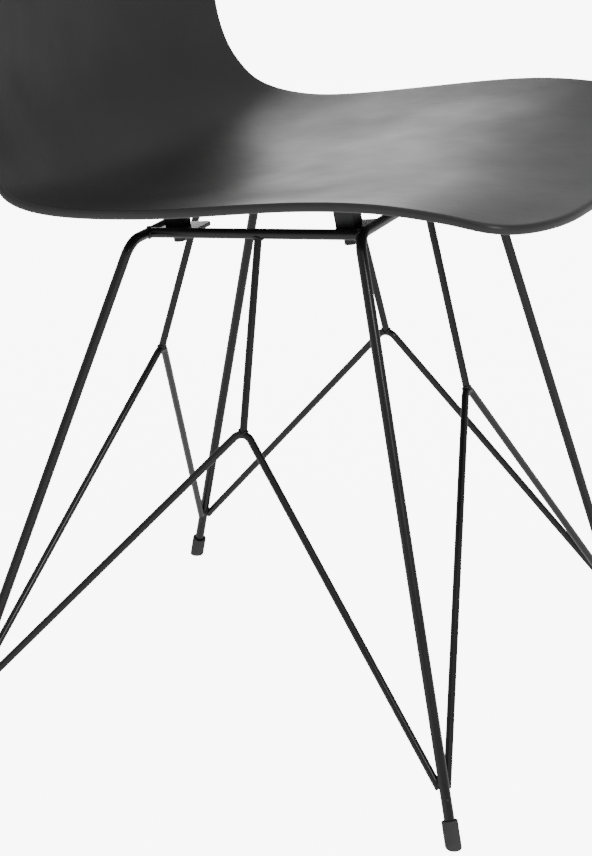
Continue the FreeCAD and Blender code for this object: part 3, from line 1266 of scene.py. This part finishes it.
    def layer(self, inset: float, depth: float) -> tuple[np.ndarray, np.ndarray]:
        """Lay a sheet of points over the shell's outline.

        Args:
            inset: how far the sheet stops inside the rim's outermost line.
            depth: how far it lies below the upper face.

        Returns:
            The points and their places on the flat grain map, in rows and columns.
        """
        bulge = self.thickness / 2
        front_depth, top_depth = self.front_corner_depth - inset, self.top_corner_depth - inset
        front_width = self.front_corner_width + bulge - inset
        top_width = self.top_corner_width + bulge - inset
        front = np.arange(self.front_corner_rows) / self.front_corner_rows * math.pi / 2
        top = np.arange(self.top_corner_rows)[::-1] / self.top_corner_rows * math.pi / 2
        inner_end = self.length - self.top_corner_depth
        inner = np.linspace(self.front_corner_depth, inner_end, self.inner_rows)
        distances = np.concatenate(
            [
                inset + front_depth * (1 - np.cos(front)),
                inner,
                self.length - inset - top_depth * (1 - np.cos(top)),
            ]
        )
        cuts = np.concatenate(
            [
                front_width * (1 - np.sin(front)),
                np.zeros(self.inner_rows),
                top_width * (1 - np.sin(top)),
            ]
        )
        widths = smooth_value(self.HALF_WIDTHS, distances / self.length) * MM + bulge - inset - cuts
        x = widths[:, None] * np.linspace(-1, 1, self.columns)[None, :]
        flat = np.stack([x, np.broadcast_to(distances[:, None], x.shape)], axis=-1)
        return self.skin(distances, x, depth), flat

    def rim_profile(self) -> list[tuple[float, float]]:
        """Return the rim's rounded section as pairs of inset and depth, from top to bottom."""
        half = self.thickness / 2
        pairs = []
        for step in range(self.rim_steps + 1):
            angle = math.pi * (step / self.rim_steps - 0.5)
            out = math.cos(angle) ** (2 / self.rim_squareness)
            down = math.copysign(abs(math.sin(angle)) ** (2 / self.rim_squareness), angle)
            pairs.append((half * (1 - out), half * (1 + down)))
        return pairs

    def shell_mesh(self) -> tuple[list, list, list, list]:
        """Build the skin with its rounded rim.

        Returns:
            The points, the faces, and each point's place on the grain map and rim value.
        """
        profile = self.rim_profile()
        upper, upper_flat = self.layer(*profile[0])
        lower, lower_flat = self.layer(*profile[-1])
        rows, columns = upper.shape[:2]
        numbers = np.arange(rows * columns).reshape(rows, columns)
        loop = [(0, j) for j in range(columns)]
        loop += [(i, columns - 1) for i in range(1, rows)]
        loop += [(rows - 1, j) for j in range(columns - 2, -1, -1)]
        loop += [(i, 0) for i in range(rows - 2, 0, -1)]
        loop_rows, loop_columns = np.array(loop).T
        points = [upper.reshape(-1, 3), lower.reshape(-1, 3)]
        flats = [upper_flat.reshape(-1, 2), lower_flat.reshape(-1, 2)]
        rims = [np.zeros(2 * rows * columns)]
        rings = [numbers[loop_rows, loop_columns]]
        count = 2 * rows * columns
        for inset, depth in profile[1:-1]:
            sheet, flat = self.layer(inset, depth)
            points.append(sheet[loop_rows, loop_columns])
            flats.append(flat[loop_rows, loop_columns])
            rims.append(np.ones(len(loop)))
            rings.append(np.arange(count, count + len(loop)))
            count += len(loop)
        rings.append(numbers[loop_rows, loop_columns] + rows * columns)
        faces = []
        for i in range(rows - 1):
            for j in range(columns - 1):
                quad = numbers[i, j], numbers[i, j + 1], numbers[i + 1, j + 1], numbers[i + 1, j]
                faces.append([int(n) for n in quad])
                faces.append([int(n) + rows * columns for n in reversed(quad)])
        for near, far in zip(rings, rings[1:]):
            for k in range(len(loop)):
                after = (k + 1) % len(loop)
                faces.append([int(near[after]), int(near[k]), int(far[k]), int(far[after])])
        return np.concatenate(points), faces, np.concatenate(flats), np.concatenate(rims)

    def underside(self, x: float, back: float) -> float:
        """Find the height of the shell's lower face.

        Args:
            x: the distance from the middle.
            back: the distance behind the front bar, in the frame's plane.

        Returns:
            The height above the frame's plane.
        """
        count = self.underside_samples
        distances = np.linspace(0, 0.5 * self.length, count)
        line = self.skin(distances, np.full((count, 1), x), self.thickness)[:, 0]
        return float(np.interp(back, line[:, 1], line[:, 2]))

    def build(self, shop: Workshop) -> None:
        """Make the shell with its bosses.

        Args:
            shop: the shared finishes and trees.
        """
        points, faces, flats, rims = self.shell_mesh()
        points, flats, rims = list(points), list(flats), list(rims)
        for x, back in mount_places(self.base):
            first = len(points)
            boss_points, boss_faces = Boss(x, back).mesh(self.underside)
            points += boss_points
            flats += [point[:2] for point in boss_points]
            rims += [0.0] * len(boss_points)
            faces += [[first + n for n in face] for face in boss_faces]
        piece = new_object("seat_shell_moulded", points, faces)
        piece.data.transform(self.base.plane)
        grain = piece.data.uv_layers.new(name=self.GRAIN_MAP)
        for corner in piece.data.loops:
            grain.data[corner.index].uv = flats[corner.vertex_index]
        rim = piece.data.attributes.new(self.RIM_MAP, "FLOAT", "POINT")
        rim.data.foreach_set("value", np.array(rims, dtype=np.float32))
        shade(piece, self.sharp_angle)
        shop.hand_over(piece, shop.shell, ["seat_shell"])


@dataclass
class Boss:
    """A tapered oblong boss under the shell, bored for its insert."""

    x: float
    back: float
    length: float = 19 * MM
    width: float = 16 * MM
    taper: float = 1.2 * MM
    corner_radius: float = 3 * MM
    foot: float = 1.5 * MM
    bore_radius: float = 4.6 * MM
    bore_depth: float = 14 * MM
    fillet: float = 2.5 * MM
    fillet_steps: int = 6
    corner_steps: int = 8
    foot_rounding: float = 0.5 * MM
    sink: float = 1.0 * MM

    def outline(self, grow: float) -> list[tuple[float, float]]:
        """Draw the boss's rounded outline.

        Args:
            grow: how far it stands outside the boss's full size.

        Returns:
            The outline's points round the boss's own middle.
        """
        radius = self.corner_radius + grow
        middle_x = self.width / 2 - self.corner_radius
        middle_y = self.length / 2 - self.corner_radius
        points = []
        for quarter, (sign_x, sign_y) in enumerate(((1, 1), (-1, 1), (-1, -1), (1, -1))):
            for step in range(self.corner_steps + 1):
                angle = math.pi / 2 * (quarter + step / self.corner_steps)
                x = sign_x * middle_x + radius * math.cos(angle)
                points.append((x, sign_y * middle_y + radius * math.sin(angle)))
        return points

    def mesh(self, underside: Callable[[float, float], float]) -> tuple[list, list]:
        """Build the boss from its bore out and up to the shell.

        Args:
            underside: gives the height of the shell's lower face at a place.

        Returns:
            The points in the frame's plane, and the faces.
        """
        angles = [math.atan2(y, x) for x, y in self.outline(0)]
        bore = [(self.bore_radius * math.cos(a), self.bore_radius * math.sin(a)) for a in angles]
        soft = self.foot_rounding
        rings = [
            (bore, lambda x, y: self.foot + self.bore_depth),
            (bore, lambda x, y: self.foot),
            (self.outline(-self.taper - soft), lambda x, y: self.foot),
            (self.outline(-self.taper), lambda x, y: self.foot + soft),
        ]
        for step in range(self.fillet_steps + 1):
            angle = math.pi / 2 * step / self.fillet_steps
            out = self.fillet * (1 - math.cos(angle))
            below = self.fillet * (1 - math.sin(angle))
            rings.append((self.outline(out), lambda x, y, below=below: underside(x, y) - below))
        rings.append((self.outline(self.fillet), lambda x, y: underside(x, y) + self.sink))
        points = []
        for ring, height in rings:
            for x, y in ring:
                place = self.x + x, self.back + y
                points.append((*place, height(*place)))
        size = len(bore)
        faces = joined_rings(len(rings), size)
        faces.append(list(range(size)))
        faces.append([(len(rings) - 1) * size + k for k in reversed(range(size))])
        return points, faces


# Foot caps and fasteners


@dataclass
class FootCaps:
    """Push-on caps, bored for the leg, with an open rim and cut flat at the floor."""

    base: WireBase
    diameter: float = 12.4 * MM
    height: float = 20 * MM
    fit_clearance: float = 0.1 * MM
    mouth_step: float = 0.8 * MM
    mouth_depth: float = 1.5 * MM
    edge_radius: float = 1.5 * MM
    mouth_rounding: float = 0.4 * MM
    round_steps: int = 64
    edge_steps: int = 6
    sharp_angle: float = 40

    def mesh(self, foot: Vector, corner: Vector) -> tuple[list, list]:
        """Build one cap from rings, from the middle of its underside round to its bore.

        Args:
            foot: the middle of its underside on the floor.
            corner: the leg's upper corner.

        Returns:
            The points and the faces.
        """
        axis = (corner - foot).normalized()
        first = axis.cross(Z_AXIS).normalized()
        second = axis.cross(first)
        radius = self.diameter / 2
        bore = self.base.leg_rod_diameter / 2 + self.fit_clearance
        mouth = self.height / axis.z
        soft = self.mouth_rounding
        steps = [math.tau * k / self.round_steps for k in range(self.round_steps)]
        spokes = [first * math.cos(a) + second * math.sin(a) for a in steps]
        on_floor = [spoke - axis * (spoke.z / axis.z) for spoke in spokes]
        rings = []
        for k in range(self.edge_steps + 1):
            angle = math.pi / 2 * k / self.edge_steps
            inward = self.edge_radius * (1 - math.sin(angle))
            upward = self.edge_radius * (1 - math.cos(angle))
            lifted = foot + axis * (upward / axis.z)
            rings.append([lifted + spoke * (radius - inward) for spoke in on_floor])
        for out, along in (
            (radius, mouth - soft),
            (radius - 0.3 * soft, mouth - 0.3 * soft),
            (radius - soft, mouth),
            (bore + self.mouth_step, mouth),
            (bore + self.mouth_step, mouth - self.mouth_depth),
            (bore, mouth - self.mouth_depth),
            (bore, self.base.cap_floor / axis.z),
        ):
            rings.append([foot + spoke * out + axis * along for spoke in spokes])
        points = [point for ring in rings for point in ring]
        size = self.round_steps
        faces = [list(range(size)), [(len(rings) - 1) * size + k for k in range(size)]]
        return points, faces + joined_rings(len(rings), size)

    def build(self, shop: Workshop) -> None:
        """Make the four caps.

        Args:
            shop: the shared finishes and trees.
        """
        for end, foot, corner in (
            ("front", self.base.front_foot, self.base.front_corner),
            ("rear", self.base.rear_foot, self.base.rear_corner),
        ):
            for side in Side:
                points, faces = self.mesh(foot, corner)
                if side is Side.LEFT:
                    points = [mirrored(point) for point in points]
                node = f"{end}_{side.word}_foot_cap"
                piece = new_object(f"{node}_moulded", points, faces)
                close_and_orient(piece)
                shade(piece, self.sharp_angle)
                shop.hand_over(piece, shop.cap, [node])


def mount_places(base: WireBase) -> list[tuple[float, float]]:
    """List the mounting points in the frame's plane.

    Args:
        base: the welded base.

    Returns:
        The distance from the middle and behind the front bar of each point.
    """
    front_half_width, rear_half_width = 114.5 * MM, 76 * MM
    front_inset, rear_inset = 16 * MM, 19.5 * MM
    rear = base.plane_length - rear_inset
    return [
        (-front_half_width, front_inset),
        (front_half_width, front_inset),
        (-rear_half_width, rear),
        (rear_half_width, rear),
    ]


@dataclass
class Fasteners:
    """Screws, flat washers, spring washers and threaded inserts at the four mounts."""

    base: WireBase
    plate_thickness: float = 3 * MM
    screw_diameter: float = 6 * MM
    screw_length: float = 20 * MM
    head_diameter: float = 10 * MM
    head_height: float = 6 * MM
    socket_flats: float = 5 * MM
    socket_depth: float = 3 * MM
    thread_pitch: float = 1 * MM
    thread_depth: float = 0.3 * MM
    clearance: float = 0.3 * MM
    washer_thickness: float = 1.6 * MM
    flat_washer_diameter: float = 12 * MM
    spring_washer_diameter: float = 10.6 * MM
    spring_washer_split: float = 1.2 * MM
    insert_diameter: float = 9 * MM
    insert_length: float = 12 * MM
    insert_bore_radius: float = 3.1 * MM
    insert_edge: float = 0.3 * MM
    groove_shares: tuple[float, ...] = (0.3, 0.6)
    groove_depth: float = 0.5 * MM
    groove_width: float = 1.5 * MM
    soft: float = 0.3 * MM
    round_steps: int = 48
    spin_step: float = 0.9
    sharp_angle: float = 35

    def hexagon(self, flats: float, angle: float) -> float:
        """Return the distance to a hexagon's side at an angle from one of its corners."""
        turn = (angle % (math.pi / 3)) - math.pi / 6
        return flats / 2 / math.cos(turn)

    def turned(self, name: str, profile: Sequence[tuple[float, float, bool]]) -> bpy.types.Object:
        """Turn a closed profile round the axis.

        Args:
            name: the object's name.
            profile: radius and height of each ring, and whether it is a hexagon across flats.

        Returns:
            The turned object, closed by a face at each end of an open profile.
        """
        steps = [math.tau * k / self.round_steps for k in range(self.round_steps)]
        points = []
        for radius, height, is_hexagon in profile:
            for angle in steps:
                out = self.hexagon(2 * radius, angle) if is_hexagon else radius
                points.append((out * math.cos(angle), out * math.sin(angle), height))
        size = self.round_steps
        faces = joined_rings(len(profile), size)
        if profile[0][:2] != profile[-1][:2]:
            faces.append(list(range(size)))
            faces.append([(len(profile) - 1) * size + k for k in range(size)])
        made = new_object(name, points, faces)
        close_and_orient(made, MERGE_DISTANCE)
        return made

    def screw(self) -> bpy.types.Object:
        """Build a cap screw with a hexagon socket and a threaded shank.

        Returns:
            The screw, its axis along z, its plate's middle at z = 0.
        """
        seat = -self.plate_thickness / 2 - 2 * self.washer_thickness
        bottom = seat - self.head_height
        head, shank, soft = self.head_diameter / 2, self.screw_diameter / 2, self.soft
        profile = [
            (self.socket_flats / 2, bottom + self.socket_depth, True),
            (self.socket_flats / 2, bottom + 0.5 * soft, True),
            (self.socket_flats / 2 + 0.7 * soft, bottom, False),
            (head - 2 * soft, bottom, False),
            (head - 0.6 * soft, bottom + 0.6 * soft, False),
            (head, bottom + 2 * soft, False),
            (head, seat - 0.5 * soft, False),
            (head - 0.5 * soft, seat, False),
            (shank, seat, False),
        ]
        threads = int((self.screw_length - 3 * self.thread_pitch) / self.thread_pitch)
        start = seat + 2 * self.thread_pitch
        for turn in range(threads):
            height = start + turn * self.thread_pitch
            profile.append((shank, height, False))
            profile.append((shank - self.thread_depth, height + self.thread_pitch / 2, False))
        profile.append((shank - self.thread_depth, seat + self.screw_length, False))
        return self.turned("screw_pattern", profile)

    def washer(self, name: str, diameter: float, bottom: float, split: float) -> bpy.types.Object:
        """Build a washer.

        Args:
            name: the object's name.
            diameter: its outer diameter.
            bottom: the height of its lower face.
            split: the width of its split, or 0 for a whole washer.

        Returns:
            The washer, its axis along z.
        """
        outer, inner = diameter / 2, self.screw_diameter / 2 + self.clearance
        soft = 0.5 * self.soft
        top = bottom + self.washer_thickness
        section = [
            (inner, bottom + soft),
            (inner + soft, bottom),
            (outer - soft, bottom),
            (outer, bottom + soft),
            (outer, top - soft),
            (outer - soft, top),
            (inner + soft, top),
            (inner, top - soft),
        ]
        gap = split / (outer + inner)
        turns = self.round_steps if split == 0 else self.round_steps + 1
        points, faces = [], []
        for k in range(turns):
            angle = gap + (math.tau - 2 * gap) * k / self.round_steps
            points += [(r * math.cos(angle), r * math.sin(angle), z) for r, z in section]
        size = len(section)
        for k in range(self.round_steps):
            near, far = k * size, (k + 1) % turns * size
            for i in range(size):
                after = (i + 1) % size
                faces.append([near + i, near + after, far + after, far + i])
        if split:
            faces.append(list(range(size)))
            faces.append([(turns - 1) * size + i for i in range(size)])
        made = new_object(name, points, faces)
        close_and_orient(made, MERGE_DISTANCE)
        return made

    def insert(self) -> bpy.types.Object:
        """Build a threaded insert with grooves round it.

        Returns:
            The insert, its axis along z, on top of its plate.
        """
        bottom = self.plate_thickness / 2
        top = bottom + self.insert_length
        outer, bore = self.insert_diameter / 2, self.insert_bore_radius
        edge, inner = self.insert_edge, outer - self.groove_depth
        section = [(bore, bottom), (outer - edge, bottom), (outer, bottom + edge)]
        for share in self.groove_shares:
            height = bottom + share * self.insert_length
            section += [
                (outer, height),
                (inner, height + edge),
                (inner, height + self.groove_width - edge),
                (outer, height + self.groove_width),
            ]
        section += [(outer, top - edge), (outer - edge, top), (bore, top), (bore, bottom)]
        return self.turned("insert_pattern", [(r, z, False) for r, z in section])

    def build(self, shop: Workshop) -> None:
        """Set the fasteners on the four mounts.

        Args:
            shop: the shared finishes and trees.
        """
        plate_bottom = -self.plate_thickness / 2
        flat_bottom = plate_bottom - self.washer_thickness
        spring_bottom = flat_bottom - self.washer_thickness
        screw = self.screw()
        flat = self.washer("flat_pattern", self.flat_washer_diameter, flat_bottom, 0.0)
        spring = self.washer(
            "spring_pattern",
            self.spring_washer_diameter,
            spring_bottom,
            self.spring_washer_split,
        )
        patterns = {
            "seat_screws": (screw, shop.steel, Slot.STEEL),
            "flat_washers": (flat, shop.steel, Slot.STEEL),
            "spring_washers": (spring, shop.steel, Slot.STEEL),
            "threaded_inserts": (self.insert(), shop.brass, Slot.BRASS),
        }
        turn = self.base.plane.to_euler()
        places = [self.base.plane @ Vector((x, back, 0)) for x, back in mount_places(self.base)]
        for node, (pattern, finish, slot) in patterns.items():
            path = new_object(f"{node}_places", places, ())
            row = shop.fastener.run(
                path,
                f"{node}_turned",
                {
                    "Fastener": pattern,
                    "Turn": turn,
                    "Spin Step": self.spin_step,
                    "Finish": finish,
                },
            )
            bpy.data.objects.remove(pattern)
            shade(row, self.sharp_angle)
            shop.hand_over(row, finish, [node])


# The room


@dataclass(frozen=True)
class Softbox:
    """A square soft light: where it hangs, the side of its face and its watts."""

    name: str
    place: tuple[float, float, float]
    size: float
    power: float


@dataclass
class Studio:
    """A pale floor, soft lights and the camera."""

    picture_width: int = 592
    picture_height: int = 856
    focal_length_px: float = 2414.0
    centre_px: tuple[float, float] = (293.9, 432.7)
    camera_place: tuple[float, float, float] = (-1.7157, -0.7373, 0.8633)
    yaw: float = 66.39
    pitch: float = 18.90
    roll: float = -0.24
    sensor: float = 36.0
    nearest: float = 0.05
    farthest: float = 100.0
    floor_half_size: float = 30.0
    floor_colour: tuple[float, float, float, float] = (0.93, 0.93, 0.94, 1.0)
    floor_roughness: float = 0.6
    floor_specular: float = 0.2
    floor_glow: float = 8.0
    floor_bounce: float = 0.3
    world_level: float = 0.45
    target: tuple[float, float, float] = (0.0, 0.0, 0.45)
    softboxes: tuple[Softbox, ...] = (
        Softbox("overhead_softbox", (-0.3, -0.5, 2.6), 1.8, 6.0),
        Softbox("far_softbox", (2.2, 1.35, 1.15), 1.35, 15.0),
        Softbox("near_softbox", (-1.8, -2.2, 1.7), 0.8, 22.0),
    )

    def camera(self) -> None:
        """Set the camera as the photograph's perspective has it."""
        yaw, pitch, roll = (math.radians(a) for a in (self.yaw, self.pitch, self.roll))
        heading = Vector((math.sin(yaw), math.cos(yaw), 0))
        forward = heading * math.cos(pitch) - Z_AXIS * math.sin(pitch)
        level = Vector((math.cos(yaw), -math.sin(yaw), 0))
        upright = level.cross(forward)
        right = level * math.cos(roll) + upright * math.sin(roll)
        up = upright * math.cos(roll) - level * math.sin(roll)
        data = bpy.data.cameras.new("camera")
        data.sensor_width = self.sensor
        data.lens = self.focal_length_px * self.sensor / self.picture_height
        data.shift_x = (self.picture_width / 2 - self.centre_px[0]) / self.picture_height
        data.shift_y = (self.centre_px[1] - self.picture_height / 2) / self.picture_height
        data.clip_start, data.clip_end = self.nearest, self.farthest
        camera = link("camera", data)
        axes = Matrix((right, up, -forward)).transposed().to_4x4()
        camera.matrix_world = Matrix.Translation(self.camera_place) @ axes
        bpy.context.scene.camera = camera

    def floor(self) -> None:
        """Lay the floor."""
        h = self.floor_half_size
        corners = [(-h, -h, 0), (h, -h, 0), (h, h, 0), (-h, h, 0)]
        piece = new_object("floor", corners, [(0, 1, 2, 3)])
        made = bpy.data.materials.new("pale_floor")
        made.use_nodes = True
        graph = NodeGraph(made.node_tree)
        shader = made.node_tree.nodes["Principled BSDF"]
        shader.inputs["Base Color"].default_value = self.floor_colour
        shader.inputs["Roughness"].default_value = self.floor_roughness
        shader.inputs["Specular IOR Level"].default_value = self.floor_specular
        shader.inputs["Emission Color"].default_value = grey(1.0)
        seen = graph.add("ShaderNodeLightPath").outputs["Is Camera Ray"]
        glow = graph.remap(seen, 0.0, 1.0, self.floor_bounce, self.floor_glow)
        graph.feed(shader.inputs["Emission Strength"], glow)
        piece.data.materials.append(made)

    def light(self, box: Softbox) -> None:
        """Hang a soft light that points at the seat.

        Args:
            box: the light's place, size and power.
        """
        data = bpy.data.lights.new(box.name, "AREA")
        data.size = box.size
        data.energy = box.power
        lamp = link(box.name, data)
        lamp.location = box.place
        lamp.rotation_mode = "QUATERNION"
        way = Vector(self.target) - Vector(box.place)
        lamp.rotation_quaternion = way.to_track_quat("-Z", "Y")
        lamp.visible_camera = False

    def build(self) -> None:
        """Set up the world, the floor, the lights and the camera."""
        world = bpy.data.worlds.new("white_studio")
        world.use_nodes = True
        background = world.node_tree.nodes["Background"]
        background.inputs["Color"].default_value = grey(1.0)
        background.inputs["Strength"].default_value = self.world_level
        bpy.context.scene.world = world
        self.floor()
        for box in self.softboxes:
            self.light(box)
        self.camera()


def main() -> None:
    """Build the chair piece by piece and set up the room."""
    logging.basicConfig(level=logging.INFO, format="%(name)s: %(message)s")
    shop = Workshop()
    base = WireBase()
    base.build(shop)
    MountPlates().build(shop)
    SeatShell(base).build(shop)
    FootCaps(base).build(shop)
    Fasteners(base).build(shop)
    Studio().build()


if __name__ == "__main__":
    main()
